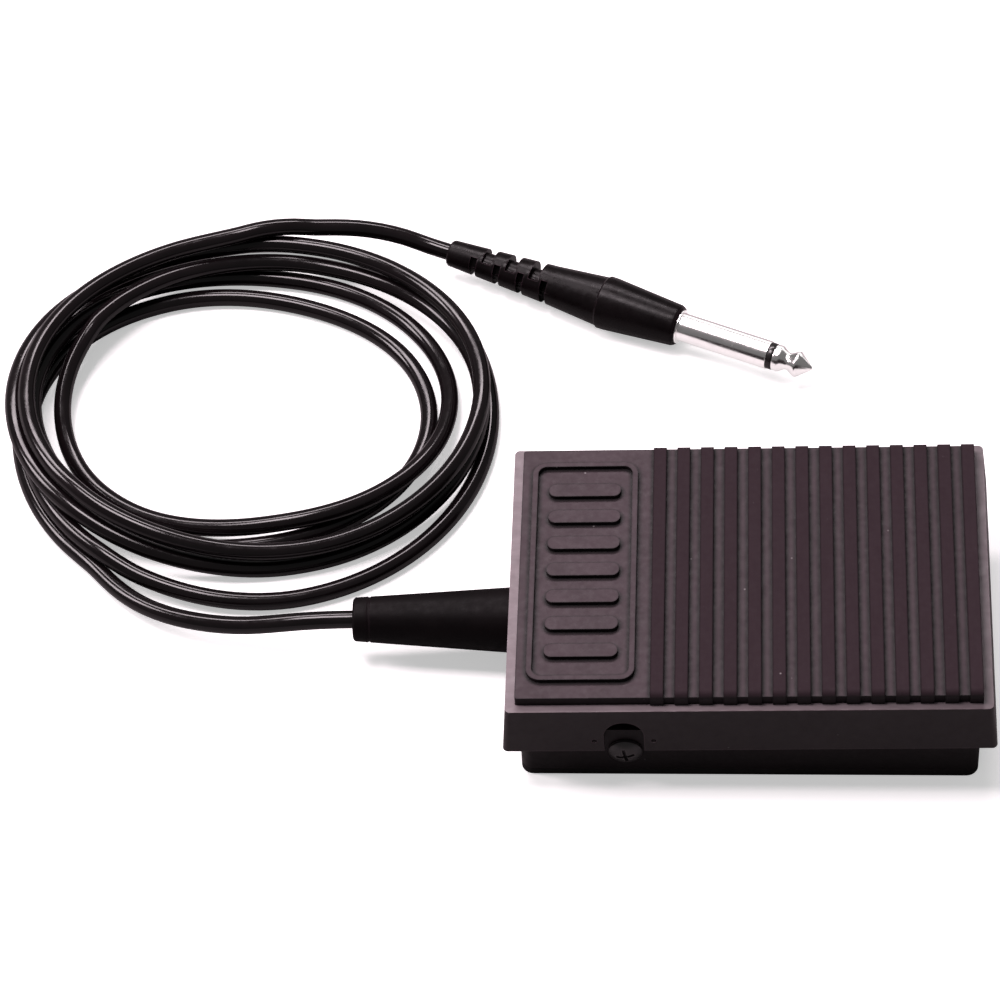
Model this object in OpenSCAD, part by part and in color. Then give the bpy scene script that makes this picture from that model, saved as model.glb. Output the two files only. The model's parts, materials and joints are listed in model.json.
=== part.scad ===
// Sustain pedal: a sprung treadle hinged on a weighted base, with a coiled cable and a phone plug.
// Frame: origin on the floor under the middle of the base, +X to the toe end, -X to the cable, +Z up.

/* [Treadle] */
// Length of the treadle at its lower edge
treadle_l = 100; // [98:1:104]
// Width of the treadle at its lower edge
treadle_w = 70; // [69:1:74]
// Height of the skirt's lower edge above the floor with the treadle level
skirt_z = 12.5; // [12:0.25:13]
// Height of the treadle's rim above the floor with the treadle level
rim_z = 24.5; // [24:0.25:26]
// Thickness of the treadle's side walls
wall_t = 2; // [1.8:0.1:2.2]
// Thickness of the treadle's top plate
plate_t = 2.6; // [2.2:0.1:2.8]
// How far each side leans in from skirt to rim
draft = 1; // [0.4:0.1:1.2]
// How far the toe end stands up at rest, in degrees
rest_tilt = 1.2; // [0.8:0.1:1.4]

/* [Tread pad] */
// Width of the bare rim at the pad's two ends
rim_x = 2; // [1.6:0.1:2.6]
// Width of the bare rim along the pad's two sides
rim_y = 1.8; // [1.6:0.1:2.4]
// Height of the pad's flat panel above the rim
pad_h = 2.2; // [1.6:0.1:2.6]
// Number of tread ribs
rib_count = 14; // [10:1:14]
// Distance from one rib to the next
rib_pitch = 4.92; // [4.6:0.02:4.92]
// Width of a rib
rib_w = 2.7; // [2.4:0.05:3]
// Height of the ribs above the flat panel
rib_h = 1.1; // [0.6:0.1:1.4]
// Number of raised bars in the relief on the flat panel
bar_count = 7; // [4:1:8]

/* [Hinge] */
// Distance of the hinge from the middle of the base, towards the cable
hinge_back = 25.25; // [24:0.25:26]
// Height of the hinge axis
hinge_z = 8.8; // [8.6:0.1:9.2]
// Width of the arch in the skirt around each pivot screw
arch_w = 8.1; // [7.8:0.1:9]
// Height of the arch above the skirt's lower edge
arch_h = 8.5; // [8:0.1:8.8]

/* [Base] */
// Length of the base
base_l = 93.5; // [91:0.5:93.5]
// Width of the base
base_w = 64; // [63:1:64]
// Thickness of the base's walls
base_wall = 2.2; // [2:0.1:2.4]
// Height of the top of the base's walls
base_top = 15.5; // [15:0.25:15.5]
// Thickness of the base's floor
floor_t = 2; // [1.8:0.1:2.2]
// Thickness of the rubber mat under the base
mat_t = 2; // [1.6:0.1:2.2]

/* [Cable] */
// Height of the cable where it leaves the base
boot_z = 10; // [9.8:0.1:10.4]
// Diameter of the cable
cable_d = 3.8; // [3.4:0.1:4]
// Centre of the cable's coil on the floor
coil_at = [-108, 61];
// Radius of the coil's first loop, which lies loosely round the others
outer_r = 51.5; // [48:0.5:56]
// Radius of the tightest loop
inner_r = 40; // [36:0.5:42]
// Radius of the last loop
last_r = 47; // [42:0.5:50]
// How far the later loops bulge at the coil's two ends along X, and draw in along Y
oval = 3.5; // [0:0.5:6]
// How far a middle loop lies off the coil's centre, each a quarter turn on from the one before
stray = 5.5; // [0:0.5:7]

/* [Plug] */
// Where the plug's handle ends and its metal sleeve starts
plug_at = [-15.2, 84.3, 6];
// Heading of the plug, in degrees from +X
plug_yaw = -23; // [-25:1:-21]
// Length of the plug's moulded handle
handle_l = 56; // [54:1:58]
// Length of cable inside the handle
cable_in = 26; // [20:1:28]
// Radius of the plug's metal sleeve
sleeve_r = 3.175; // [3.175:0.001:3.175]
// Length of the plug's bare sleeve
sleeve_l = 21.3; // [20:0.1:22]

/* [Hidden] */
$fn = 64;
eps = 0.01;
hinge_x = -hinge_back;

// ---------- shared shapes ----------

// A flat slab with rounded upright corners, centred in plan, from z = 0 up.
module rounded_slab(l, w, h, r) {
    translate([-l / 2 + r, -w / 2, 0]) cube([l - 2 * r, w, h]);
    translate([-l / 2, -w / 2 + r, 0]) cube([l, w - 2 * r, h]);
    for (x = [-1, 1], y = [-1, 1])
        translate([x * (l / 2 - r), y * (w / 2 - r), 0]) cylinder(r = r, h = h);
}

// A block with sides that lean in from a lower outline to an upper one.
module leaning_block(l, w, h, lean, r) {
    hull() {
        rounded_slab(l, w, eps, r, $fn = 32);
        translate([0, 0, h - eps]) rounded_slab(l - 2 * lean, w - 2 * lean, eps, r, $fn = 32);
    }
}

// A solid of revolution about +X; each point is [distance along X, radius].
module turned_x(profile) {
    rotate([0, 90, 0]) rotate([0, 0, 90]) rotate_extrude() polygon([for (p = profile) [p[1], p[0]]]);
}

// A cylinder along Y that starts at y = 0.
module rod_y(r, l) {
    rotate([-90, 0, 0]) cylinder(r = r, h = l);
}

// A pan-head screw pointing down -Z, its head's underside at z = 0, with a cross recess and thread rings.
module pan_screw(head_r, head_h, shoulder_r, shoulder_l, thread_r, thread_l) {
    pitch = 0.9;
    root_r = thread_r * 0.8;
    dome_r = (head_r * head_r + head_h * head_h) / (2 * head_h) + 1.2;
    difference() {
        intersection() {
            cylinder(r = head_r, h = head_h);
            translate([0, 0, head_h - dome_r]) sphere(r = dome_r);
        }
        for (a = [0, 90])
            rotate([0, 0, a + 12]) translate([-head_r * 0.55, -head_r * 0.1, head_h * 0.35])
                cube([head_r * 1.1, head_r * 0.2, head_h]);
    }
    if (shoulder_l > 0) translate([0, 0, -shoulder_l]) cylinder(r = shoulder_r, h = shoulder_l + eps);
    threads = floor(thread_l / pitch);
    end_z = -shoulder_l - thread_l;
    rotate_extrude() polygon(concat(
        [[0, end_z], [0, -shoulder_l + eps], [root_r, -shoulder_l + eps]],
        [for (i = [0 : threads - 1], k = [0 : 2])
            [[root_r, thread_r, root_r][k], -shoulder_l - pitch * (i + [0.1, 0.5, 0.9][k])]],
        [[root_r, end_z + 0.4], [root_r * 0.6, end_z]]));
}

// ---------- sweeping a round section along a list of points ----------

function unit(v) = v / norm(v);
function tangent(path, i) =
    unit(path[min(i + 1, len(path) - 1)] - path[max(i - 1, 0)]);
function ring(path, i, r, sides) =
    let (t = tangent(path, i), side = unit(cross(t, [0, 0, 1])), up = cross(side, t))
    [for (k = [0 : sides - 1]) path[i] + r * (cos(360 * k / sides) * side + sin(360 * k / sides) * up)];

module sweep(path, r, sides) {
    n = len(path);
    points = [for (i = [0 : n - 1]) each ring(path, i, r, sides)];
    walls = [for (i = [0 : n - 2], k = [0 : sides - 1])
        let (a = i * sides + k, b = i * sides + (k + 1) % sides)
        each [[a, b, b + sides], [a, b + sides, a + sides]]];
    caps = [[for (k = [sides - 1 : -1 : 0]) k], [for (k = [0 : sides - 1]) (n - 1) * sides + k]];
    polyhedron(points = points, faces = concat(walls, caps), convexity = 10);
}

function bezier(a, b, c, d, t) =
    pow(1 - t, 3) * a + 3 * t * pow(1 - t, 2) * b + 3 * t * t * (1 - t) * c + pow(t, 3) * d;
function bezier_path(a, b, c, d, n) = [for (i = [0 : n]) bezier(a, b, c, d, i / n)];
function smooth(t) = let (c = min(max(t, 0), 1)) c * c * (3 - 2 * c);
function mix(a, b, t) = a * (1 - t) + b * t;

// ---------- treadle ----------

// Places a child drawn with the treadle level into its rest position, toe up.
module at_rest() {
    translate([hinge_x, 0, hinge_z]) rotate([0, -rest_tilt, 0])
        translate([-hinge_x, 0, -hinge_z]) children();
}

under_z = rim_z - plate_t;              // underside of the treadle's top plate
ear_y = base_w / 2 - base_wall - 0.4;   // outer face of a hinge ear
ear_l = 8.9;                            // length of an ear's boss along the hinge
ear_r = 4.2;
spring_x = 18;
spring_r = 4.2;
wire_r = 0.5;
post_x = 4.5;                           // actuator post that works the leaf switch
pad_recess = 0.6;
boot_r = 7.05;                          // boot at the base's wall
neck_r = 5;                             // boot where it passes through the wall

module skirt_arches() {
    for (s = [-1, 1]) {
        translate([hinge_x, s * (treadle_w / 2 - wall_t / 2 - draft / 2), skirt_z - 1]) {
            translate([-arch_w / 2, -wall_t, 0]) cube([arch_w, 2 * wall_t, arch_h + 1 - arch_w / 2]);
            translate([0, -wall_t, arch_h + 1 - arch_w / 2]) rod_y(arch_w / 2, 2 * wall_t);
        }
        for (d = [-6, 6])
            translate([hinge_x + d, s * treadle_w / 2 - 0.9, skirt_z + 3]) rod_y(0.5, 1.8);
    }
}

module boot_notch() {
    translate([-treadle_l / 2 - 1, 0, boot_z]) rotate([0, 90, 0])
        cylinder(r = boot_r + 1.05, h = wall_t + 3);
}

module hinge_ears() {
    for (s = [-1, 1])
        scale([1, s, 1]) translate([hinge_x, ear_y - ear_l, hinge_z]) {
            rod_y(ear_r, ear_l);
            translate([-ear_r, ear_l - 4.4, 0]) cube([2 * ear_r, 4.4, under_z - hinge_z + eps]);
            translate([-0.8, 0, 0]) cube([1.6, ear_l, under_z - hinge_z + eps]);
        }
}

module actuator_post() {
    nose_z = leaf_top_z + 0.1;
    translate([post_x, -2.5, nose_z + 1.5]) rod_y(1.5, 5);
    translate([post_x - 1.5, -2.5, nose_z + 1.5]) cube([3, 5, under_z - nose_z - 1.5 + eps]);
    translate([post_x - 4, -0.7, nose_z + 6]) cube([8, 1.4, under_z - nose_z - 6 + eps]);
}

module treadle_shell() {
    color([0.2, 0.17, 0.18]) at_rest() difference() {
        union() {
            difference() {
                translate([0, 0, skirt_z])
                    leaning_block(treadle_l, treadle_w, rim_z - skirt_z, draft, 1.1);
                translate([0, 0, skirt_z - eps])
                    leaning_block(treadle_l - 2 * wall_t, treadle_w - 2 * wall_t,
                        under_z - skirt_z, draft, 0.8);
                translate([0, 0, pad_z]) rounded_slab(pad_l, pad_w, 2, 0.6);
            }
            hinge_ears();
            actuator_post();
            translate([spring_x, 0, under_z - 4]) cylinder(r = 3.2, h = 4 + eps);
            for (y = [-12, 12]) translate([-18, y - 0.6, under_z - 2.5]) cube([56, 1.2, 2.5 + eps]);
        }
        skirt_arches();
        boot_notch();
        for (s = [-1, 1]) scale([1, s, 1])
            translate([hinge_x, ear_y - ear_l + 0.6, hinge_z]) rod_y(1.55, ear_l);
        translate([spring_x, 0, under_z - 5]) cylinder(r = 1.6, h = 4);
    }
}

pad_l = treadle_l - 2 * draft - 2 * rim_x;
pad_w = treadle_w - 2 * draft - 2 * rim_y;
pad_z = rim_z - pad_recess;
flat_l = pad_l - (rib_count - 1) * rib_pitch - rib_w;   // length of the flat panel

// One tread rib: its ends round over and run down the pad's two long edges.
module tread_rib() {
    overhang = 0.35;
    end_r = 1.5;
    len_y = pad_w + 2 * overhang;
    top = pad_recess + pad_h + rib_h;
    rotate([90, 0, 90]) linear_extrude(rib_w) {
        translate([-len_y / 2 + end_r, pad_recess]) square([len_y - 2 * end_r, top - pad_recess]);
        translate([-len_y / 2, pad_recess]) square([len_y, top - pad_recess - end_r]);
        for (s = [-1, 1]) translate([s * (len_y / 2 - end_r), top - end_r]) circle(r = end_r);
    }
}

// Raised bars inside a raised frame, on the flat panel.
module relief() {
    bar_l = 15;
    bar_w = 3.4;
    frame_l = 22;
    frame_w = pad_w - 8;
    step = (frame_w - 8) / bar_count;
    relief_h = 1;
    translate([-pad_l / 2 + flat_l / 2 - 0.5, 0, pad_recess + pad_h - eps]) {
        difference() {
            rounded_slab(frame_l, frame_w, relief_h, 3);
            translate([0, 0, -1]) rounded_slab(frame_l - 2.4, frame_w - 2.4, relief_h + 2, 1.8);
        }
        for (i = [0 : bar_count - 1])
            translate([0, (i - (bar_count - 1) / 2) * step, 0])
                rounded_slab(bar_l, bar_w, relief_h, bar_w / 2 - 0.1);
    }
}

module tread_pad() {
    color([0.27, 0.23, 0.25]) at_rest() translate([0, 0, pad_z]) {
        rounded_slab(pad_l - 0.1, pad_w - 0.1, pad_recess + pad_h, 0.6);
        for (i = [0 : rib_count - 1])
            translate([-pad_l / 2 + flat_l + i * rib_pitch, 0, 0]) tread_rib();
        relief();
    }
}

// Shoulder screws: each turns in the base's wall and threads into an ear.
module pivot_screws() {
    color([0.16, 0.15, 0.16]) for (s = [-1, 1])
        translate([hinge_x, s * (base_w / 2 + 0.1), hinge_z]) rotate([-s * 90, 0, 0])
            pan_screw(3.45, 1.9, 2, base_w / 2 + 0.1 - ear_y, 1.5, 7.2);
}

// ---------- base ----------

floor_z = mat_t + floor_t;
stop_post_at = [38, 22];
felt_post_at = [-40, 16];
felt_r = 3.2;
felt_t = 1.2;
felt_z = rise(under_z, felt_post_at[0] - felt_r, -rest_tilt) - 0.05;
bumper_r = 3;
press_angle = 5;                        // full travel of the treadle
bumper_z = rise(under_z, stop_post_at[0] + bumper_r, press_angle - rest_tilt) - 0.05;
bumper_h = 3;
clamp_x = -38;
clamp_y = 6;                            // screws of the cable clamp
clamp_h = 3.4;
stack_x = -15;
stack_l = 10;
stack_w = 12;
stack_z = 8;
stake_at = [[-1, 20], [28, 20]];

// Height of a treadle point drawn at height z and distance x, with the treadle turned down by a.
function rise(z, x, a) = hinge_z + (z - hinge_z) * cos(a) - (x - hinge_x) * sin(a);

// Places a child on both sides of the base, at [x, y] and [x, -y].
module both_sides(at) {
    for (y = [-1, 1]) translate([at[0], y * at[1], 0]) children();
}

module base_tray() {
    color([0.09, 0.08, 0.085]) difference() {
        union() {
            difference() {
                translate([0, 0, mat_t]) rounded_slab(base_l, base_w, base_top - mat_t, 2.5);
                translate([0, 0, floor_z])
                    rounded_slab(base_l - 2 * base_wall, base_w - 2 * base_wall, base_top, 1.2);
            }
            translate([spring_x, 0, floor_z - eps]) cylinder(r = 6.8, h = 3);
            both_sides(stop_post_at) translate([0, 0, floor_z - eps])
                cylinder(r = 3.4, h = bumper_z - bumper_h - floor_z + eps);
            both_sides(felt_post_at) translate([0, 0, floor_z - eps])
                cylinder(r = 3.4, h = felt_z - felt_t - floor_z + eps);
            translate([clamp_x - 3, -9, floor_z - eps]) cube([6, 18, boot_z - floor_z]);
            translate([stack_x - stack_l / 2, -stack_w / 2, floor_z - eps])
                cube([stack_l, stack_w, stack_z - floor_z + eps]);
            for (at = stake_at) both_sides(at) translate([0, 0, floor_z - eps]) {
                cylinder(r = 1.5, h = 1.6);
                translate([0, 0, 1.5 + eps]) cylinder(r = 2.6, h = 0.7);
            }
        }
        translate([spring_x, 0, floor_z]) cylinder(r = 5.2, h = 4);
        translate([hinge_x, -base_w / 2 - 1, hinge_z]) rod_y(2.05, base_w + 2);
        translate([-base_l / 2 - 1, 0, boot_z]) rotate([0, 90, 0])
            cylinder(r = neck_r + 0.05, h = base_wall + 2);
        translate([-base_l / 2 - 1, -neck_r - 0.05, boot_z])
            cube([base_wall + 2, 2 * neck_r + 0.1, base_top]);
        translate([clamp_x - 4, 0, boot_z]) rotate([0, 90, 0]) cylinder(r = cable_d / 2, h = 8);
        both_sides([clamp_x, clamp_y]) translate([0, 0, floor_z]) cylinder(r = 1.12, h = 9);
        both_sides(stop_post_at) translate([0, 0, bumper_z - bumper_h - 3]) cylinder(r = 1.4, h = 4);
        for (x = [-3, 3]) translate([stack_x + x, 0, floor_z - 1]) cylinder(r = 0.92, h = 6);
    }
}

module foot_mat() {
    groove_l = base_w - 12;
    color([0.06, 0.055, 0.06]) difference() {
        rounded_slab(base_l, base_w, mat_t, 2.5);
        for (x = [-38 : 4 : 38]) translate([x - 0.7, -groove_l / 2, -1]) cube([1.4, groove_l, 1.6]);
    }
}

// Steel weight, staked down by four pegs that are moulded on the floor.
module ballast_plate() {
    color([0.6, 0.6, 0.62]) translate([0, 0, floor_z]) difference() {
        translate([14.25, 0, 0]) rounded_slab(40, 50, 1.5, 3);
        translate([spring_x, 0, -1]) cylinder(r = 7.2, h = 4);
        for (at = stake_at) both_sides(at) translate([0, 0, -1]) cylinder(r = 1.6, h = 4);
    }
}

module down_stop_bumpers() {
    color([0.12, 0.12, 0.12]) both_sides(stop_post_at) translate([0, 0, bumper_z - bumper_h]) {
        cylinder(r = bumper_r, h = bumper_h);
        translate([0, 0, -2.6]) cylinder(r = 1.38, h = 2.6 + eps);
    }
}

module rest_stop_felts() {
    color([0.2, 0.2, 0.21]) both_sides(felt_post_at) translate([0, 0, felt_z - felt_t])
        cylinder(r = felt_r, h = felt_t);
}

spring_top = rise(under_z, spring_x - 5, -rest_tilt) - 0.1;
spring_turns = 8;
dead_turns = 1;

// Share of the spring's length climbed after t turns: closed end turns, an even pitch between them.
function climb(t) =
    let (closed = 2 * wire_r, free = spring_top - floor_z - 2 * wire_r - 2 * closed * dead_turns)
    t < dead_turns ? closed * t
    : t > spring_turns - dead_turns ? closed * dead_turns + free + closed * (t - spring_turns + dead_turns)
    : closed * dead_turns + free * (t - dead_turns) / (spring_turns - 2 * dead_turns);

module return_spring() {
    steps = 20 * spring_turns;
    path = [for (i = [0 : steps]) let (t = i * spring_turns / steps)
        [spring_x + spring_r * cos(360 * t), spring_r * sin(360 * t), floor_z + wire_r + climb(t)]];
    color([0.75, 0.75, 0.77]) sweep(path, wire_r * 0.98, 8);
}

// ---------- leaf switch ----------

leaf_t = 0.3;
leaf_z = stack_z + 1.5;                 // underside of the moving leaf
leaf_top_z = leaf_z + leaf_t;
leaf_w = 5;
flex_x = stack_x + stack_l / 2 + 0.4;   // line where the moving leaf flexes
fixed_z = leaf_top_z + 1.8;             // underside of the fixed leaf
fixed_t = 0.5;
contact_x = -1.5;
contact_h = 0.88;
lug_x = stack_x - stack_l / 2 - 4.5;
top_z = fixed_z + fixed_t;

module stack_holes(z, h) {
    for (x = [-3, 3]) translate([stack_x + x, 0, z - 1]) cylinder(r = 1.3, h = h + 2);
}

module stack_slice(z, h, l, w) {
    difference() {
        translate([stack_x - l / 2, -w / 2, z]) cube([l, w, h]);
        stack_holes(z, h);
    }
}

module stack_base_spacer() {
    color([0.45, 0.28, 0.14]) stack_slice(stack_z, leaf_z - stack_z, stack_l, 10);
}

module stack_middle_spacer() {
    color([0.45, 0.28, 0.14]) stack_slice(leaf_top_z, fixed_z - leaf_top_z, stack_l, 10);
}

module stack_top_plate() {
    color([0.45, 0.28, 0.14]) stack_slice(top_z, 1, stack_l, 10);
}

module stack_screws() {
    color([0.7, 0.7, 0.72]) for (x = [-3, 3])
        translate([stack_x + x, 0, top_z + 1]) pan_screw(1.9, 1.2, 0, 0, 0.9, 8);
}

// A leaf's clamped tail with a pierced solder lug that turns to one side.
module leaf_tail(z, t, side) {
    difference() {
        union() {
            stack_slice(z, t, stack_l + 0.5, leaf_w);
            translate([lug_x, side * 1.5 - 1.2, z]) cube([5, 2.4, t]);
        }
        translate([lug_x + 1.4, side * 1.5, z - 1]) cylinder(r = 0.55, h = 3);
    }
}

module fixed_leaf() {
    color([0.78, 0.62, 0.3]) {
        leaf_tail(fixed_z, fixed_t, 1);
        difference() {
            translate([stack_x + stack_l / 2, -leaf_w / 2, fixed_z])
                cube([contact_x + 2 - stack_x - stack_l / 2, leaf_w, fixed_t]);
            translate([contact_x, 0, fixed_z - 1]) cylinder(r = 0.6, h = 3);
        }
    }
}

module moving_leaf_tail() {
    color([0.78, 0.55, 0.32]) difference() {
        leaf_tail(leaf_z, leaf_t, -1);
        translate([flex_x - leaf_t / 2 - 0.02, -leaf_w, leaf_z - 1]) cube([5, 2 * leaf_w, 3]);
    }
}

module moving_leaf() {
    color([0.78, 0.55, 0.32]) {
        translate([flex_x, -leaf_w / 2, leaf_z + leaf_t / 2]) rod_y(leaf_t / 2, leaf_w);
        difference() {
            translate([flex_x, -leaf_w / 2, leaf_z]) cube([post_x + 2 - flex_x, leaf_w, leaf_t]);
            translate([contact_x, 0, leaf_z - 1]) cylinder(r = 0.6, h = 3);
        }
    }
}

// Rivet contacts: a shank through the leaf, a head on each side, and a crowned face.
module contact_rivet(leaf_t, face_h) {
    translate([0, 0, -0.35]) cylinder(r = 0.9, h = 0.35);
    translate([0, 0, -eps]) cylinder(r = 0.59, h = leaf_t + 2 * eps);
    translate([0, 0, leaf_t]) intersection() {
        cylinder(r = 1.2, h = face_h);
        translate([0, 0, face_h - 3]) sphere(r = 3);
    }
}

module moving_contact() {
    color([0.82, 0.82, 0.8]) translate([contact_x, 0, leaf_z]) contact_rivet(leaf_t, contact_h);
}

module fixed_contact() {
    color([0.82, 0.82, 0.8]) translate([contact_x, 0, top_z]) mirror([0, 0, 1])
        contact_rivet(fixed_t, contact_h);
}

// ---------- cable ----------

cable_r = cable_d / 2;
boot_tip_x = -82.5;
turn_n = 72;                            // samples in one turn of the coil
stray_from = 350;                       // bearing in which the first loop would lie off the centre
plug_dir = [cos(plug_yaw), sin(plug_yaw), 0];
handle_end = plug_at - handle_l * plug_dir;
start_a = atan2(-coil_at[1], boot_tip_x - coil_at[0]) + 360;
end_a = atan2(handle_end[1] - coil_at[1], handle_end[0] - coil_at[0]);
full_turns = 5;                         // whole turns of the coil, besides the part turn to the plug
stop_a = end_a - full_turns * 360;
run_n = floor((start_a - stop_a) / 360 * turn_n);
boot_lead_a = 64;                       // bearings over which the cable leaves the boot's line for the coil
plug_lead_a = 62;                       // bearings over which it swings out of the coil to the plug's line
straight_share = 0.35;                  // how far that swing runs straight; the rest goes on turning
step_l = 4.6;                           // about the cable's length from one sample to the next
boot_sag_l = 32;                        // length over which it sinks from the boot's height to the floor
plug_sag_l = 34;                        // length over which it rises to the plug's height
lean = 0.94;                            // share of a gap left where runs cross at a slant

function run_angle(i) = start_a - i * (start_a - stop_a) / run_n;

// Radius of the coil at bearing a, which falls by 360 with each turn from the boot end to the plug end.
// A loose first loop draws in to the tightest, and the rest widen out over it and swing back.
function coil_radius(a) =
    let (turns = (270 - a) / 360,
        drawn_in = smooth((turns - 0.75) / 0.9),
        widened = smooth((turns - 2.6) / 2),
        mean_r = mix(mix(outer_r, inner_r, drawn_in), last_r, widened),
        off_r = stray * smooth(turns - 0.6) * mix(1, -0.5, smooth(turns - 3.3)))
    mean_r + oval * smooth(turns - 0.7) * cos(2 * a) + off_r * cos(a - stray_from + 90 * turns);

// Distance of a straight line from the coil's centre, along a ray at angle a.
function line_radius(point, heading, a) =
    let (normal = [-sin(heading), cos(heading)],
        d = normal * [point[0] - coil_at[0], point[1] - coil_at[1]])
    d / (normal * [cos(a), sin(a)]);

// Radius of the swing at bearing a: part a spiral, part a straight run, both meeting the plug's line end on.
end_r = norm([handle_end[0] - coil_at[0], handle_end[1] - coil_at[1]]);
function swing_radius(a) =
    mix(end_r * (1 + tan(end_a - plug_yaw - 90) * (a - stop_a) * PI / 180),
        line_radius(handle_end, plug_yaw, a), straight_share);

function run_radius(i) =
    let (a = run_angle(i), coil = coil_radius(a),
        into = smooth((a - start_a + boot_lead_a) / (boot_lead_a - 12)),
        out = smooth((stop_a + plug_lead_a - a) / (plug_lead_a - 4)))
    i < turn_n ? mix(coil, line_radius([boot_tip_x, 0], 0, a), into)
    : i > run_n - turn_n ? mix(coil, swing_radius(a), out)
    : coil;
run_r = [for (i = [0 : run_n]) run_radius(i)];

// Lowest height the cable may take at sample i: the floor, or what the boot or the plug holds it at.
function held_height(i) =
    max(mix(boot_z, cable_r, smooth(i * step_l / boot_sag_l)),
        mix(plug_at[2], cable_r, smooth((run_n - i) * step_l / plug_sag_l)));

// Height that a run needs at sample i to lie on the earlier runs beside or under it.
spread_d = cable_d * 1.1;
function laid_height(i, z) =
    max([held_height(i), for (j = [i - turn_n : -turn_n : 0])
        let (gap = lean * abs(run_r[i] - run_r[j]))
        if (gap < spread_d) z[j] + sqrt(spread_d * spread_d - gap * gap)]);

// A stiff cable rises well before it crosses another, and sinks slowly after it.
stiffness = 0.2;
reach = 5;
function bridged(i, z) =
    max([for (m = [-reach : reach])
        let (j = min(max(i + m, 0), run_n)) laid_height(j, z) - stiffness * m * m]);
function eased(i, z) =
    let (w = min(5, i, run_n - i), near = [for (m = [-w : w]) bridged(i + m, z)])
    max(laid_height(i, z) - 0.25, near * [for (m = [-w : w]) 1] / (2 * w + 1));
function lay_heights(i, z) = i > run_n ? z : lay_heights(i + 1, concat(z, [eased(i, z)]));
run_z = lay_heights(0, []);

function run_point(i) =
    let (a = run_angle(i)) [coil_at[0] + run_r[i] * cos(a), coil_at[1] + run_r[i] * sin(a), run_z[i]];

cable_path = concat(
    [for (x = [-33.5, -45, -60, -74]) [x, 0, boot_z]],
    [for (i = [0 : run_n]) run_point(i)],
    [for (s = [6, 16, cable_in]) handle_end + s * plug_dir]);

module cable() {
    color([0.13, 0.11, 0.115]) sweep(cable_path, cable_r, 12);
}

module cable_boot() {
    wall_x = -base_l / 2;
    flange_r = 5.7;
    color([0.1, 0.09, 0.09]) translate([0, 0, boot_z]) difference() {
        turned_x([[boot_tip_x, 0], [boot_tip_x, 4.2], [boot_tip_x + 0.4, 4.6],
            [boot_tip_x + 3, 4.8], [boot_tip_x + 3.1, 4.65], [boot_tip_x + 3.5, 4.65],
            [boot_tip_x + 3.6, 4.83], [wall_x - 0.05, boot_r],
            [wall_x - 0.05, neck_r], [wall_x + base_wall + 0.05, neck_r],
            [wall_x + base_wall + 0.05, flange_r], [wall_x + base_wall + 1.6, flange_r],
            [wall_x + base_wall + 1.6, 0]]);
        translate([boot_tip_x - 1, 0, 0]) rotate([0, 90, 0]) cylinder(r = cable_r + 0.02, h = 60);
    }
}

module cable_clamp() {
    color([0.12, 0.11, 0.11]) difference() {
        translate([clamp_x - 2.5, -9, boot_z]) cube([5, 18, clamp_h]);
        translate([clamp_x - 4, 0, boot_z]) rotate([0, 90, 0]) cylinder(r = cable_r, h = 8);
        both_sides([clamp_x, clamp_y]) translate([0, 0, boot_z - 1]) cylinder(r = 1.3, h = 6);
    }
}

module clamp_screws() {
    color([0.7, 0.7, 0.72]) both_sides([clamp_x, clamp_y]) translate([0, 0, boot_z + clamp_h])
        pan_screw(2.3, 1.5, 0, 0, 1.1, 7.5);
}

core_end_x = -33.4;

module hot_wire() {
    a = [core_end_x, 0.7, boot_z];
    d = [lug_x + 1.4, 1.5, fixed_z + fixed_t + 0.42];
    color([0.75, 0.1, 0.08]) sweep(bezier_path(a, a + [5, 1, 0], d + [-6, 1, 2.5], d, 16), 0.4, 8);
}

module ground_wire() {
    a = [core_end_x, -0.7, boot_z];
    d = [lug_x + 1.4, -1.5, leaf_z - 0.42];
    color([0.85, 0.85, 0.83]) sweep(bezier_path(a, a + [5, -1, 0], d + [-6, -1, -2], d, 16), 0.4, 8);
}

// ---------- plug ----------

module on_plug() {
    translate(plug_at) rotate([0, 0, plug_yaw]) children();
}

shank_l = 9;
shank_r = 3.9;
core_r = 1.15;
tube_r = 2;
insulator_l = 1.3;
insulator_r = sleeve_r - 0.2;
thick_s = -17.5;                        // station of the handle's thickest ring
slot_pitch = 5.85;
notch_s = 9.8 - handle_l;               // station of the first wide notch
slit_s = 6.7 - handle_l;                // station of the first narrow slit

// Cuts by turns from opposite sides, with small pockets between, so that the handle's tail can bend.
module relief_slots() {
    for (i = [0 : 2])
        translate([notch_s + i * slot_pitch, 0, 0]) rotate([-40, 0, 0]) slot_cut(2.4);
    for (i = [0 : 3])
        translate([slit_s + i * slot_pitch, 0, 0]) {
            rotate([140, 0, 0]) slot_cut(1.4);
            rotate([50, 0, 0]) translate([-0.8, -1.2, cable_r + 0.4]) cube([1.6, 2.4, 10]);
        }
}

module slot_cut(w) {
    difference() {
        translate([-w / 2, -8, 0.6]) cube([w, 16, 10]);
        rotate([0, 90, 0]) cylinder(r = cable_r + 0.7, h = 2 * w, center = true);
    }
}

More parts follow.
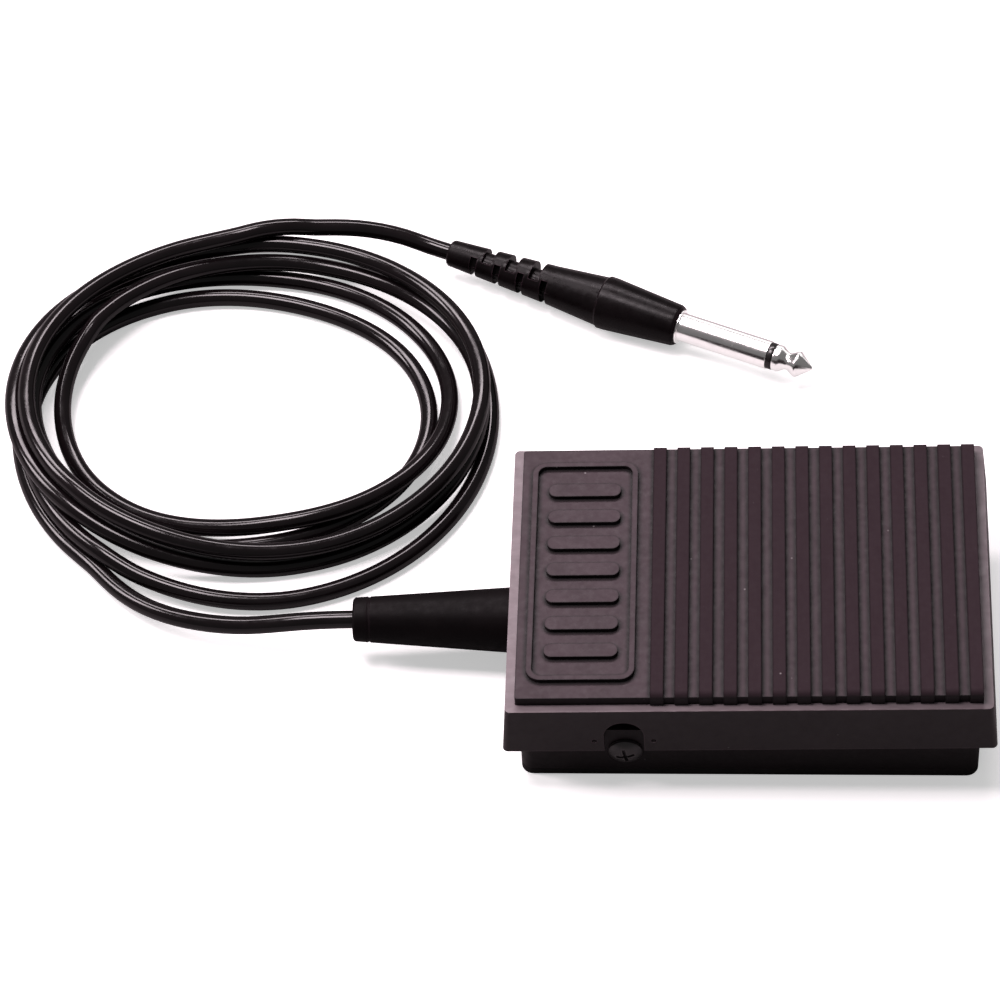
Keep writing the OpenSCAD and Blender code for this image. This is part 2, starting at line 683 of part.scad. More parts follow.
module plug_handle() {
    color([0.1, 0.09, 0.095]) on_plug() difference() {
        turned_x([[-handle_l, 0], [-handle_l, 2.7], [-handle_l + 0.4, 3], [-handle_l + 25, 4.45],
            [thick_s - 1.2, 5.6], [thick_s - 0.8, 5.95], [thick_s + 0.7, 5.95],
            [-1, 4.65], [-0.4, 4.4], [-0.4, 4.2], [0, 4.1], [0, 0]]);
        relief_slots();
        translate([-handle_l - 1, 0, 0]) rotate([0, 90, 0]) cylinder(r = cable_r + 0.02, h = cable_in + 3);
        translate([-handle_l + cable_in + 1, 0, 0]) rotate([0, 90, 0])
            cylinder(r = 3, h = handle_l - cable_in - 1 - shank_l);
        translate([-shank_l - eps, 0, 0]) rotate([0, 90, 0]) cylinder(r = shank_r, h = shank_l + 1);
    }
}

module plug_sleeve() {
    color([0.85, 0.85, 0.87]) on_plug() difference() {
        turned_x([[-shank_l, 0], [-shank_l, shank_r - 0.01], [0.3, shank_r - 0.01], [0.3, sleeve_r],
            [sleeve_l, sleeve_r], [sleeve_l, 0]]);
        translate([-shank_l - 1, 0, 0]) rotate([0, 90, 0]) cylinder(r = tube_r + 0.01, h = 60);
    }
}

module plug_insulator() {
    color([0.05, 0.05, 0.05]) on_plug() difference() {
        turned_x([[-shank_l - 1.5, 0], [-shank_l - 1.5, tube_r], [sleeve_l, tube_r],
            [sleeve_l, insulator_r], [sleeve_l + insulator_l, insulator_r], [sleeve_l + insulator_l, 0]]);
        translate([-shank_l - 3, 0, 0]) rotate([0, 90, 0]) cylinder(r = core_r + 0.01, h = 60);
    }
}

module plug_tip() {
    tip = sleeve_l + insulator_l;
    ball_r = 2.95;
    waist_r = 1.95;
    color([0.85, 0.85, 0.87]) on_plug()
        turned_x([[-shank_l - 4, 0], [-shank_l - 4, core_r], [tip, core_r], [tip, ball_r],
            [tip + 1.4, ball_r], [tip + 2.8, waist_r], [tip + 3.4, waist_r], [tip + 5.2, ball_r],
            [tip + 5.6, ball_r - 0.05], [tip + 8.7, 0.4], [tip + 8.9, 0]]);
}

// The two cores inside the handle, from the cable's end to the tip's rod and to the sleeve's shank.
module plug_leads() {
    core_from = -handle_l + cable_in + 0.1;
    color([0.8, 0.45, 0.3]) on_plug() {
        for (z = [-0.8, 0.8]) translate([core_from, 0, z]) rotate([0, 90, 0])
            cylinder(r = 0.35, h = -shank_l - 4.1 - core_from);
        translate([-shank_l - 5, 0, -2.5]) rotate([0, 90, 0]) cylinder(r = 0.35, h = 4.95);
        translate([-shank_l - 5, 0, -2.8]) cylinder(r = 0.3, h = 2.1);
    }
}

base_tray();
foot_mat();
ballast_plate();
down_stop_bumpers();
rest_stop_felts();
return_spring();
cable_boot();
cable();
cable_clamp();
clamp_screws();
hot_wire();
ground_wire();
stack_base_spacer();
stack_middle_spacer();
stack_top_plate();
stack_screws();
fixed_leaf();
fixed_contact();
moving_leaf_tail();
moving_leaf();
moving_contact();
treadle_shell();
tread_pad();
pivot_screws();
plug_handle();
plug_sleeve();
plug_insulator();
plug_tip();
plug_leads();
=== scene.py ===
"""Looks of the sustain pedal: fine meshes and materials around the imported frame."""
import json
import math

import bpy
import numpy as np
from mathutils import Matrix, Vector


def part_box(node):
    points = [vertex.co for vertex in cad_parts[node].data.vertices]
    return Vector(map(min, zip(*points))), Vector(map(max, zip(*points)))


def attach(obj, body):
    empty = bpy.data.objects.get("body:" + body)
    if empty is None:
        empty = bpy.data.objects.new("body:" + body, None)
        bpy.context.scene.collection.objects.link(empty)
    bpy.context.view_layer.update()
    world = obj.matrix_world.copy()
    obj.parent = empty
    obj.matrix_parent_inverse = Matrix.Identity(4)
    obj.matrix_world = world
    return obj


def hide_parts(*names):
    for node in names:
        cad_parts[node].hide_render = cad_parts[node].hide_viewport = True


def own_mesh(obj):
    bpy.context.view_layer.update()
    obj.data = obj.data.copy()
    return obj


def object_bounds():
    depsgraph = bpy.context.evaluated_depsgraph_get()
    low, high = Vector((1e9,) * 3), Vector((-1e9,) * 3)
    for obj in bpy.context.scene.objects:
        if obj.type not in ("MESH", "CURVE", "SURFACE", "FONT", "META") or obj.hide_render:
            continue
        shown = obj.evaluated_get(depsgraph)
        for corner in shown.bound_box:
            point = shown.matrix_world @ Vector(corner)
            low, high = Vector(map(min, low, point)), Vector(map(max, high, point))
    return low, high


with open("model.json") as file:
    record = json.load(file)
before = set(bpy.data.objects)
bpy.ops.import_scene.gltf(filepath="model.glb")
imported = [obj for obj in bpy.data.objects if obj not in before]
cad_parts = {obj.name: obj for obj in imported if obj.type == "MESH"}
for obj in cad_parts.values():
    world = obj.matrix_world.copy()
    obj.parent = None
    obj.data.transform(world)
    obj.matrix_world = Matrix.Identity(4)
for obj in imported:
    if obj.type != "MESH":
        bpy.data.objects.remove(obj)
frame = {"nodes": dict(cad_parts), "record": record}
nodes = frame["nodes"]
cad_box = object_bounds()
MM = 0.001


# ---------- material graphs ----------

class Graph:
    """A small wrapper that adds nodes to one material and links them."""

    def __init__(self, name):
        self.mat = bpy.data.materials.new(name)
        self.mat.use_nodes = True
        self.tree = self.mat.node_tree
        self.tree.nodes.clear()
        out = self.tree.nodes.new("ShaderNodeOutputMaterial")
        self.bsdf = self.tree.nodes.new("ShaderNodeBsdfPrincipled")
        self.tree.links.new(self.bsdf.outputs[0], out.inputs[0])
        self.out = out
        self.place = self.add("ShaderNodeTexCoord").outputs["Object"]

    def add(self, kind, inputs=None, **props):
        node = self.tree.nodes.new(kind)
        for key, value in props.items():
            setattr(node, key, value)
        for key, value in (inputs or {}).items():
            self.set(node.inputs[key], value)
        return node

    def set(self, socket, value):
        if isinstance(value, bpy.types.NodeSocket):
            self.tree.links.new(value, socket)
        else:
            socket.default_value = value

    def noise(self, size_mm, detail=3.0, rough=0.55, where=None, stretch=None):
        """Noise whose features are about size_mm wide; stretch gives each axis its own size factor."""
        where = where or self.place
        if stretch:
            where = self.add("ShaderNodeMapping", {"Vector": where, "Scale": stretch}).outputs[0]
        return self.add("ShaderNodeTexNoise", {"Vector": where, "Scale": 1000 / size_mm,
                                               "Detail": detail, "Roughness": rough}).outputs[0]

    def spots(self, size_mm, width):
        """1 inside sparse round spots, one to a cell of size_mm; width is a spot's share of its cell."""
        cell = self.add("ShaderNodeTexVoronoi", {"Vector": self.place, "Scale": 1000 / size_mm,
                                                 "Randomness": 1.0}).outputs["Distance"]
        return self.ramp(cell, 0.0, width, 1.0, 0.0)

    def ramp(self, value, from_lo, from_hi, to_lo, to_hi):
        return self.add("ShaderNodeMapRange", {"Value": value, "From Min": from_lo, "From Max": from_hi,
                                               "To Min": to_lo, "To Max": to_hi}).outputs[0]

    def math(self, op, a, b=0.0):
        return self.add("ShaderNodeMath", {0: a, 1: b}, operation=op).outputs[0]

    def mix(self, share, a, b):
        node = self.add("ShaderNodeMix", data_type="RGBA")
        for key, value in ((0, share), (6, a), (7, b)):
            self.set(node.inputs[key], value if not isinstance(value, tuple) else (*value, 1.0)[:4])
        return node.outputs[2]

    def bump(self, height, depth_mm, strength=1.0, normal=None):
        node = self.add("ShaderNodeBump", {"Height": height, "Distance": depth_mm * MM, "Strength": strength})
        if normal is not None:
            self.set(node.inputs["Normal"], normal)
        return node.outputs[0]

    def edges(self, radius_mm):
        """1 along outer and inner edges, fading over radius_mm, 0 on open faces."""
        soft = self.add("ShaderNodeBevel", {"Radius": radius_mm * MM}, samples=6).outputs[0]
        hard = self.add("ShaderNodeNewGeometry").outputs["Normal"]
        near = self.add("ShaderNodeVectorMath", {0: soft, 1: hard}, operation="DOT_PRODUCT").outputs["Value"]
        return self.ramp(near, 1.0, 0.86, 0.0, 1.0)

    def upward(self):
        """How far the face looks up: 1 on level tops, 0 on upright walls."""
        normal = self.add("ShaderNodeNewGeometry").outputs["Normal"]
        return self.add("ShaderNodeSeparateXYZ", {"Vector": normal}).outputs[2]

    def finish(self, **inputs):
        for key, value in inputs.items():
            socket = self.bsdf.inputs[key.replace("_", " ")]
            self.set(socket, (*value, 1.0) if isinstance(value, tuple) and len(value) == 3 else value)
        return self.mat


def moulded(name, dark, light, rough, grain_mm=0.3, grain_depth=0.012, spec=0.3, wear_and_highlight=0.0, dust=0.0, edge=0.0,
            edge_shade=0.0, crease_shade=0.0, rough_and_dark=None, ledge=None):
    """Moulded plastic or rubber: mottled colour, fine grain, pale edges (part wear, part painted highlight),
    painted shade on edges, in creases and on side walls, and dust.

    Of the two functions of g, the first gives where the surface is rougher and its colour darker, the second
    where the ledge gets a painted highlight."""
    g = Graph(name)
    cloud = g.ramp(g.noise(9, 4, 0.6), 0.35, 0.68, 0.0, 1.0)
    colour = g.mix(cloud, dark, light)
    # Painted shade: creases (found by ambient occlusion) and upright walls are darkened toward black.
    if crease_shade:
        open_air = g.add("ShaderNodeAmbientOcclusion", {"Distance": crease_shade * MM}, samples=6).outputs["AO"]
        deep = g.ramp(open_air, 0.7, 0.96, 1.0, 0.0)
        wall_shade = g.ramp(g.upward(), 0.3, 0.8, 0.85, 0.0)
        colour = g.mix(g.math("MAXIMUM", deep, wall_shade), colour, tuple(c * 0.08 for c in dark))
    dull = rough_and_dark(g) if rough_and_dark else None
    # Rib tops are made darker in colour, broken up by streaks; further down they are also made rougher and less
    # specular.
    if rough_and_dark:
        streak = g.ramp(g.noise(1.6, 4, 0.7, None, (1.0, 0.12, 1.0)), 0.3, 0.75, 0.8, 1.0)
        colour = g.mix(g.math("MULTIPLY", dull, streak), colour, tuple(c * 0.72 for c in dark))
    # Painted highlight on the ledge: level tops are lightened toward pale pink, broken up by noise.
    if ledge:
        highlight_breakup = g.ramp(g.noise(3.0, 4, 0.7, None, (0.3, 1.0, 1.0)), 0.3, 0.7, 0.7, 1.0)
        colour = g.mix(g.math("MULTIPLY", ledge(g), highlight_breakup), colour, (0.30, 0.245, 0.265))
    grain = g.noise(grain_mm, 2, 0.5)
    pits = g.noise(grain_mm * 5, 3, 0.6)
    gloss = g.ramp(pits, 0.3, 0.7, rough - 0.06, rough + 0.08)
    if rough_and_dark:
        gloss = g.math("ADD", gloss, g.math("MULTIPLY", dull, 0.25))
        spec = g.ramp(dull, 0.0, 1.0, spec, spec * 0.5)
    # Painted shade along the edges: they are darkened toward black.
    if edge_shade:
        colour = g.mix(g.math("MULTIPLY", g.edges(edge_shade), 0.9), colour, tuple(c * 0.1 for c in dark))
    # Pale edges: partly real wear, partly a painted highlight where the rounded edges catch the light. They are
    # made glossier too.
    if edge:
        rim = g.math("MULTIPLY", g.edges(edge), g.ramp(g.noise(2.2, 4, 0.7), 0.35, 0.62, 0.45, 1.0))
        wear_highlight_colour = tuple(c * 4.0 + tint for c, tint in zip(light, (0.036, 0.020, 0.028)))
        colour = g.mix(g.math("MULTIPLY", rim, wear_and_highlight), colour, wear_highlight_colour)
        gloss = g.math("SUBTRACT", gloss, g.math("MULTIPLY", rim, 0.12))
    if dust:
        speck = g.math("MULTIPLY", g.spots(7.5, 0.035), dust)
        lint = g.math("MULTIPLY", g.ramp(g.noise(0.9, 5, 0.8), 0.66, 0.78, 0.0, 1.0), dust * 0.25)
        colour = g.mix(g.math("MAXIMUM", speck, lint), colour, (0.32, 0.29, 0.3))
    height = g.math("ADD", g.math("MULTIPLY", grain, 0.6), g.math("MULTIPLY", pits, 0.4))
    return g.finish(Base_Color=colour, Roughness=gloss, Specular_IOR_Level=spec,
                    Normal=g.bump(height, grain_depth, 0.9))


def jacket(name, dark, light, rough=0.17):
    """Smooth extruded jacket: satin, with faint long waves, rub marks and a little dust."""
    g = Graph(name)
    colour = g.mix(g.ramp(g.noise(14, 4, 0.6), 0.4, 0.7, 0.0, 1.0), dark, light)
    smear = g.ramp(g.noise(3.2, 5, 0.65), 0.35, 0.7, rough - 0.03, rough + 0.07)
    speck = g.math("MULTIPLY", g.spots(6.0, 0.03), 0.5)
    colour = g.mix(speck, colour, (0.3, 0.27, 0.28))
    wave = g.math("ADD", g.noise(4.5, 2, 0.4), g.math("MULTIPLY", g.noise(0.5, 2, 0.5), 0.03))
    return g.finish(Base_Color=colour, Roughness=smear, Specular_IOR_Level=0.3,
                    Normal=g.bump(wave, 0.01, 0.4))


def metal(name, dark, light, rough, turn=0.0, stretch=(1, 1, 1), line_mm=0.12, depth=0.004, tarnish=0.0):
    """Metal with fine drawn or turned lines. The lines run across the axis that stretch makes fine."""
    g = Graph(name)
    where = g.add("ShaderNodeMapping", {"Vector": g.place, "Rotation": (0, 0, turn)}).outputs[0]
    lines = g.noise(line_mm, 2, 0.6, where, stretch)
    stain = g.ramp(g.noise(2.6, 5, 0.7), 0.45, 0.75, 0.0, 1.0)
    stained = tuple(c * 0.45 for c in dark)
    colour = g.mix(g.math("MULTIPLY", stain, tarnish), g.mix(lines, dark, light), stained)
    gloss = g.ramp(lines, 0.3, 0.7, rough - 0.03, rough + 0.06)
    gloss = g.math("ADD", gloss, g.math("MULTIPLY", stain, 0.08))
    return g.finish(Base_Color=colour, Metallic=1.0, Roughness=gloss, Normal=g.bump(lines, depth, 0.7))


def felt_cloth(name, dark, light):
    g = Graph(name)
    fuzz = g.noise(0.16, 6, 0.8)
    tuft = g.noise(0.7, 4, 0.7)
    colour = g.mix(g.ramp(g.math("ADD", fuzz, tuft), 0.7, 1.3, 0.0, 1.0), dark, light)
    return g.finish(Base_Color=colour, Roughness=0.95, Specular_IOR_Level=0.1, Sheen_Weight=0.6,
                    Sheen_Roughness=0.5, Normal=g.bump(fuzz, 0.12, 1.0))


def laminate(name, dark, light):
    """Paper laminate: thin layers in height, with fibres in plan."""
    g = Graph(name)
    layers = g.noise(0.22, 2, 0.5, None, (0.05, 0.05, 1.0))
    fibre = g.noise(0.5, 5, 0.7, None, (0.25, 1.0, 1.0))
    colour = g.mix(g.math("MULTIPLY", g.math("ADD", layers, fibre), 0.5), dark, light)
    return g.finish(Base_Color=colour, Roughness=g.ramp(fibre, 0.3, 0.7, 0.42, 0.6),
                    Normal=g.bump(fibre, 0.02, 0.6))


plug_axis = Vector(next(m["axis"] for m in frame["record"]["mounts"] if m["name"] == "plug"))
plug_turn = -math.atan2(plug_axis.y, plug_axis.x)

REST_TILT = math.tan(math.radians(1.2))   # the treadle stands toe up at rest
FLAT_PANEL = 26.3 * MM                    # length of the pad in front of its first rib
pad_lo, pad_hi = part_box("tread_pad")


def rib_tops(g):
    """1 on the tops of the tread ribs, 0 in the grooves and on the flat panel."""
    x, z = (g.add("ShaderNodeSeparateXYZ", {"Vector": g.place}).outputs[k] for k in (0, 2))
    top = pad_hi.z - (pad_hi.x - 2 * MM) * REST_TILT
    height = g.math("SUBTRACT", g.math("SUBTRACT", z, top), g.math("MULTIPLY", x, REST_TILT))
    raised = g.ramp(height, -0.75 * MM, -0.45 * MM, 0.0, 1.0)
    first_rib = pad_lo.x + FLAT_PANEL
    ribbed = g.ramp(x, first_rib - 0.1 * MM, first_rib + 0.1 * MM, 0.0, 1.0)
    return g.math("MULTIPLY", raised, ribbed)


def ledge_highlight(g):
    """Painted highlight on the ledge round the pad, on level tops: most at the cable end, less at the far one.
    """
    x = g.add("ShaderNodeSeparateXYZ", {"Vector": g.place}).outputs[0]
    return g.math("MULTIPLY", g.ramp(g.upward(), 0.6, 0.97, 0.0, 0.6), g.ramp(x, 0.0, pad_hi.x, 1.0, 0.6))


BRUSHED = (0.05, 1, 1)          # fine lines along X
EVEN = (1, 1, 1)
TURNED = (1, 0.04, 0.04)        # fine rings round the plug's axis

MATERIALS = {
    "shell_plastic": moulded(
        "shell_plastic", (0.0150, 0.0094, 0.0112), (0.0205, 0.0132, 0.0155), 0.42,
        grain_mm=0.35, grain_depth=0.016, spec=0.3, wear_and_highlight=0.55, dust=0.25, edge=0.45, ledge=ledge_highlight),
    "pad_rubber": moulded(
        "pad_rubber", (0.0315, 0.0190, 0.0240), (0.0410, 0.0250, 0.0315), 0.52,
        grain_mm=0.28, grain_depth=0.02, spec=0.22, dust=0.8,
        edge_shade=0.5, crease_shade=1.1, rough_and_dark=rib_tops),
    "base_plastic": moulded(
        "base_plastic", (0.0082, 0.0055, 0.0062), (0.0122, 0.0082, 0.0093), 0.5,
        grain_mm=0.35, grain_depth=0.018, spec=0.2, wear_and_highlight=0.3, dust=0.3, edge=0.4),
    "mat_rubber": moulded(
        "mat_rubber", (0.010, 0.009, 0.009), (0.016, 0.014, 0.014), 0.8,
        grain_mm=0.5, grain_depth=0.03, spec=0.2, dust=0.5),
    "stop_rubber": moulded(
        "stop_rubber", (0.012, 0.011, 0.011), (0.02, 0.018, 0.018), 0.75,
        grain_mm=0.4, grain_depth=0.03, spec=0.25),
    "boot_rubber": moulded(
        "boot_rubber", (0.0024, 0.0015, 0.0018), (0.0040, 0.0026, 0.0030), 0.52,
        grain_depth=0.014, spec=0.07, wear_and_highlight=0.3, dust=0.2, edge=0.5),
    "handle_rubber": moulded(
        "handle_rubber", (0.0028, 0.0018, 0.0021), (0.0048, 0.0031, 0.0036), 0.3,
        grain_depth=0.014, spec=0.12, wear_and_highlight=0.8, dust=0.2, edge=0.3),
    "clamp_plastic": moulded("clamp_plastic", (0.02, 0.018, 0.018), (0.03, 0.027, 0.027), 0.5),
    "insulator": moulded(
        "insulator", (0.01, 0.009, 0.009), (0.014, 0.012, 0.012), 0.25,
        grain_mm=0.2, grain_depth=0.004, spec=0.5),
    "black_steel": moulded(
        "black_steel", (0.022, 0.018, 0.019), (0.034, 0.029, 0.030), 0.34,
        grain_mm=0.18, grain_depth=0.01, spec=0.6, wear_and_highlight=0.8, edge=0.35),
    "cable_jacket": jacket("cable_jacket", (0.0038, 0.0025, 0.0029), (0.0068, 0.0046, 0.0053), 0.13),
    "red_wire": jacket("red_wire", (0.42, 0.02, 0.014), (0.5, 0.035, 0.022), 0.35),
    "white_wire": jacket("white_wire", (0.62, 0.6, 0.55), (0.74, 0.72, 0.67), 0.35),
    "felt": felt_cloth("felt", (0.05, 0.05, 0.055), (0.15, 0.15, 0.16)),
    "laminate": laminate("laminate", (0.16, 0.075, 0.03), (0.34, 0.19, 0.085)),
    "ballast_steel": metal(
        "ballast_steel", (0.42, 0.42, 0.43), (0.6, 0.6, 0.61), 0.34,
        stretch=BRUSHED, line_mm=0.15, depth=0.01, tarnish=0.4),
    "spring_steel": metal(
        "spring_steel", (0.5, 0.5, 0.51), (0.68, 0.68, 0.69), 0.24,
        stretch=EVEN, line_mm=0.2, depth=0.006, tarnish=0.2),
    "zinc_steel": metal(
        "zinc_steel", (0.5, 0.5, 0.5), (0.66, 0.66, 0.68), 0.28,
        stretch=EVEN, line_mm=0.2, depth=0.008, tarnish=0.3),
    "leaf_brass": metal(
        "leaf_brass", (0.6, 0.42, 0.16), (0.76, 0.57, 0.25), 0.26,
        stretch=BRUSHED, line_mm=0.1, depth=0.006, tarnish=0.35),
    "leaf_bronze": metal(
        "leaf_bronze", (0.58, 0.34, 0.17), (0.72, 0.46, 0.25), 0.26,
        stretch=BRUSHED, line_mm=0.1, depth=0.006, tarnish=0.35),
    "contact_silver": metal(
        "contact_silver", (0.7, 0.7, 0.67), (0.84, 0.84, 0.81), 0.2,
        stretch=EVEN, line_mm=0.2, depth=0.004, tarnish=0.3),
    "bare_copper": metal(
        "bare_copper", (0.62, 0.33, 0.2), (0.76, 0.45, 0.3), 0.28,
        turn=plug_turn, stretch=BRUSHED, line_mm=0.1),
    "plug_nickel": metal(
        "plug_nickel", (0.84, 0.80, 0.80), (0.95, 0.92, 0.92), 0.16,
        turn=plug_turn, stretch=TURNED, line_mm=0.07, depth=0.0015, tarnish=0.12),
}

SLOT_OF = {part["node"]: part["material_slot"] for part in frame["record"]["subparts"]}


def paint(obj, slot):
    obj.data.materials.clear()
    obj.data.materials.append(MATERIALS[slot])


# ---------- shapes ----------

def soften(obj, width_mm, segments=2, angle=32):
    """Rounds a CAD node's sharp edges with modifiers; its own vertices stay unchanged."""
    if "custom_normal" in obj.data.attributes:
        obj.data.attributes.remove(obj.data.attributes["custom_normal"])
    obj.data.polygons.foreach_set("use_smooth", [True] * len(obj.data.polygons))
    weld = obj.modifiers.new("weld", "WELD")
    weld.merge_threshold = 2e-6
    flat = obj.modifiers.new("flat_faces", "DECIMATE")
    flat.decimate_type = "DISSOLVE"
    flat.angle_limit = math.radians(0.4)
    bevel = obj.modifiers.new("rounded_edges", "BEVEL")
    bevel.width = width_mm * MM
    bevel.segments = segments
    bevel.limit_method = "ANGLE"
    bevel.angle_limit = math.radians(angle)
    bevel.use_clamp_overlap = True
    bevel.harden_normals = False
    normals = obj.modifiers.new("even_shading", "WEIGHTED_NORMAL")
    normals.keep_sharp = True


def ring_centres(obj, sides, start):
    """Centre line of a swept CAD node: its rings of vertices, walked by edges from the end nearest start."""
    co = np.array([v.co[:] for v in obj.data.vertices])
    micron = np.round(co / 1e-6).astype(np.int64)
    _, first, same = np.unique(micron, axis=0, return_index=True, return_inverse=True)
    same = same.reshape(-1)
    points = co[first]
    near = [set() for _ in points]
    for edge in obj.data.edges:
        a, b = same[edge.vertices[0]], same[edge.vertices[1]]
        if a != b:
            near[a].add(b)
            near[b].add(a)
    gap = np.linalg.norm(points - np.array(start), axis=1)
    layer = set(np.argsort(gap, kind="stable")[:sides].tolist())
    seen, line = set(layer), []
    while layer:
        line.append(points[sorted(layer)].mean(0))
        layer = {n for v in layer for n in near[v]} - seen
        seen |= layer
    return np.array(line)


def finer(line, steps):
    """The same line through the same points, with steps samples to a span."""
    ends = np.vstack([2 * line[0] - line[1], line, 2 * line[-1] - line[-2]])
    a, b, c, d = ends[:-3], ends[1:-2], ends[2:-1], ends[3:]
    out = []
    for t in [k / steps for k in range(steps)]:
        out.append(b + 0.5 * t * (c - a + t * (2 * a - 5 * b + 4 * c - d + t * (3 * (b - c) + d - a))))
    return np.vstack([np.stack(out, 1).reshape(-1, 3), line[-1:]])


def mesh_object(name, verts, faces):
    mesh = bpy.data.meshes.new(name)
    mesh.from_pydata([tuple(v) for v in verts], [], faces)
    mesh.polygons.foreach_set("use_smooth", [True] * len(mesh.polygons))
    mesh.validate()
    obj = bpy.data.objects.new(name, mesh)
    bpy.context.scene.collection.objects.link(obj)
    return obj


def tube(name, line, radius, sides):
    """A smooth round tube along a line, with its frame carried along so that it doesn't twist."""
    step = np.gradient(line, axis=0)
    step /= np.linalg.norm(step, axis=1)[:, None]
    side = np.cross(step[0], (0, 0, 1.0))
    side /= np.linalg.norm(side)
    turn = np.linspace(0, 2 * math.pi, sides, endpoint=False)
    verts = []
    for p, t in zip(line, step):
        side = side - t * (side @ t)
        side /= np.linalg.norm(side)
        up = np.cross(side, t)
        verts.append(p + radius * (np.cos(turn)[:, None] * side + np.sin(turn)[:, None] * up))
    n = len(line)
    faces = []
    for i in range(n - 1):
        for k in range(sides):
            a, b = i * sides + k, i * sides + (k + 1) % sides
            faces.append((a, b, b + sides, a + sides))
    faces += [tuple(range(sides))[::-1], tuple((n - 1) * sides + k for k in range(sides))]
    return mesh_object(name, np.vstack(verts), faces)


def swept_piece(node, sides_cad, radius_mm, sides, steps, start):
    line = finer(ring_centres(nodes[node], sides_cad, start), steps)
    piece = tube("fine_" + node, line, radius_mm * MM, sides)
    paint(piece, SLOT_OF[node])
    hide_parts(node)
    return piece


# ---------- CAD nodes that stay, with rounded edges ----------

EDGE_MM = {
    "treadle_shell": 0.4, "tread_pad": 0.35, "base_tray": 0.5, "foot_mat": 0.25, "cable_boot": 0.3,
    "plug_handle": 0.22, "plug_sleeve": 0.12, "plug_insulator": 0.08, "plug_tip": 0.18, "pivot_screws": 0.14,
    "ballast_plate": 0.2, "cable_clamp": 0.25, "clamp_screws": 0.1, "stack_screws": 0.08,
    "stack_base_spacer": 0.08, "stack_middle_spacer": 0.08, "stack_top_plate": 0.08,
    "fixed_leaf": 0.05, "moving_leaf_tail": 0.04, "moving_leaf": 0.04,
    "fixed_contact": 0.06, "moving_contact": 0.06,
    "down_stop_bumpers": 0.3, "rest_stop_felts": 0.15, "plug_leads": 0.05,
}
for name, width in EDGE_MM.items():
    paint(nodes[name], SLOT_OF[name])
    soften(nodes[name], width, 3 if name in ("treadle_shell", "tread_pad", "base_tray") else 2)

# ---------- cable, wires and spring as smooth tubes ----------

cable_lo, cable_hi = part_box("cable")
cable = swept_piece("cable", 12, 1.9, 20, 2, (cable_hi.x, 0, 0.01))
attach(cable, "base")

for wire in ("hot_wire", "ground_wire"):
    lo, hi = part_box(wire)
    piece = swept_piece(wire, 8, 0.4, 12, 2, (lo.x, 0, 0.01))
    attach(piece, "base")

lo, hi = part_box("return_spring")
spring = swept_piece("return_spring", 8, 0.49, 12, 2, ((lo.x + hi.x) / 2 + 0.0042, 0, lo.z))
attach(spring, "base")
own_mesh(spring)

# ---------- stage ----------


def floor_material():
    """Pale studio floor: near white to the eye, and darker in reflections to keep the black parts black."""
    g = Graph("floor_paper")
    fibre = g.noise(1.5, 5, 0.7)
    g.finish(Base_Color=g.mix(fibre, (0.93, 0.93, 0.93), (0.96, 0.96, 0.96)), Roughness=0.9,
             Specular_IOR_Level=0.1, Normal=g.bump(fibre, 0.01, 0.3),
             Emission_Color=(1, 1, 1), Emission_Strength=0.45)
    path = g.add("ShaderNodeLightPath")
    mirrored = g.mix(path.outputs["Is Glossy Ray"], (0.12, 0.11, 0.113), (0.34, 0.32, 0.325))
    dim = g.add("ShaderNodeBsdfDiffuse", {"Color": mirrored}).outputs[0]
    seen = path.outputs["Is Camera Ray"]
    both = g.add("ShaderNodeMixShader", {0: seen, 1: dim, 2: g.bsdf.outputs[0]}).outputs[0]
    g.set(g.out.inputs[0], both)
    return g.mat


floor = mesh_object("floor", [(-3, -3, 0), (3, -3, 0), (3, 3, 0), (-3, 3, 0)], [(0, 1, 2, 3)])
floor.location.z = -0.00002
floor.data.materials.append(floor_material())


def area_light(name, place, target, size, power, colour=(1, 1, 1)):
    data = bpy.data.lights.new(name, "AREA")
    data.shape = "RECTANGLE"
    data.size, data.size_y = size
    data.energy = power
    data.color = colour
    obj = bpy.data.objects.new(name, data)
    obj.location = place
    obj.rotation_euler = (Vector(target) - Vector(place)).to_track_quat("-Z", "Y").to_euler()
    bpy.context.scene.collection.objects.link(obj)
    return obj


middle = (cad_box[0] + cad_box[1]) / 2
PINK = (1.0, 0.88, 0.925)
area_light("behind", (middle.x - 0.2, 0.75, 0.98), middle, (0.95, 0.2), 11, PINK)
area_light("overhead", (middle.x - 0.3, 0.1, 1.25), middle, (0.4, 0.4), 11, PINK)
area_light("left_key", (middle.x - 1.0, 0.15, 0.8), middle, (0.3, 0.5), 9, PINK)

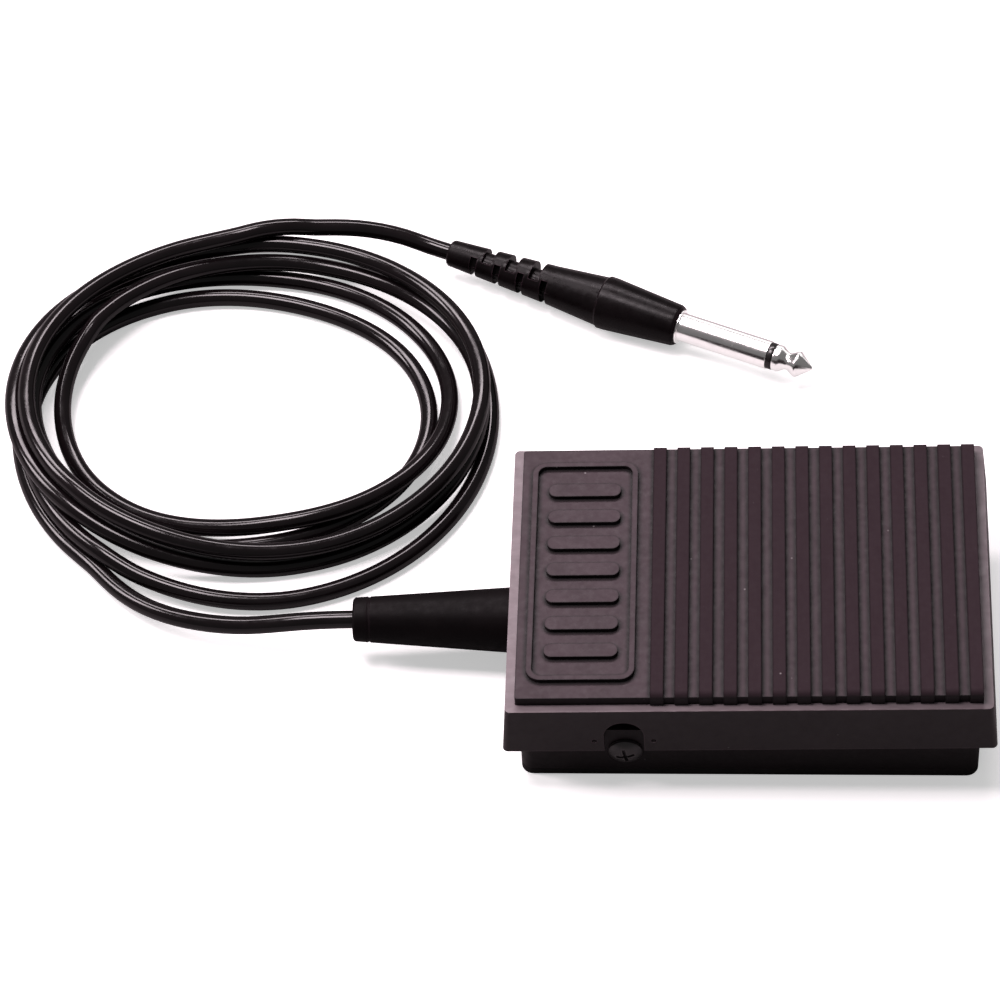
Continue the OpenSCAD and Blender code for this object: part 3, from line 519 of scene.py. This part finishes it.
# White cards that only the bright plug sees, so that its nickel has something pale to mirror.
bright = bpy.data.collections.new("bright_metal")
for name in ("plug_sleeve", "plug_tip"):
    bright.objects.link(nodes[name])
plug_lo, plug_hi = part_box("plug_sleeve")
plug_mid = (plug_lo + plug_hi) / 2
across = Vector((-plug_axis.y, plug_axis.x, 0))
cards = (("card_floor", plug_mid - across * 0.15 + Vector((0, 0, -plug_mid.z + 0.5 * MM)), (0, 0, 1), 0.3, 0.24),
         ("card_top", plug_mid + across * 0.12 + Vector((0, 0, 0.34)), None, 0.3, 0.56),
         ("card_back", plug_mid + across * 0.3 + Vector((0, 0, 0.1)), None, 0.16, 0.3))
for name, place, looks, depth, power in cards:
    card = area_light(name, place, place + Vector(looks) if looks else plug_mid, (0.45, depth), power)
    card.visible_camera = False
    card.light_linking.receiver_collection = bright

world = bpy.data.worlds.new("studio")
world.use_nodes = True
sky = world.node_tree
eye = sky.nodes.new("ShaderNodeLightPath")
level = sky.nodes.new("ShaderNodeMapRange")
level.inputs["To Min"].default_value, level.inputs["To Max"].default_value = 0.17, 1.0
sky.links.new(eye.outputs["Is Camera Ray"], level.inputs["Value"])
sky.links.new(level.outputs[0], sky.nodes["Background"].inputs[1])
sky.nodes["Background"].inputs[0].default_value = (1, 1, 1, 1)
bpy.context.scene.world = world
bpy.context.scene.view_settings.view_transform = "Standard"
bpy.context.scene.view_settings.look = "None"

# ---------- camera ----------

AZIMUTH, ELEVATION, ROLL = (math.radians(a) for a in (4.864, 51.233, -3.681))
level_back = Vector((math.sin(AZIMUTH), -math.cos(AZIMUTH), 0))
back = level_back * math.cos(ELEVATION) + Vector((0, 0, math.sin(ELEVATION)))
right = Vector((math.cos(AZIMUTH), math.sin(AZIMUTH), 0))
up = back.cross(right)
c, s = math.cos(ROLL), math.sin(ROLL)
aim = Vector((-0.05371, 0.04, 0))
pose = Matrix((c * right + s * up, -s * right + c * up, back)).transposed().to_4x4()
pose.translation = aim + back * 0.9577
data = bpy.data.cameras.new("camera")
data.sensor_width, data.lens = 36, 159.83
data.clip_start, data.clip_end = 0.05, 20
camera = bpy.data.objects.new("camera", data)
camera.matrix_world = pose
bpy.context.scene.collection.objects.link(camera)
bpy.context.scene.camera = camera
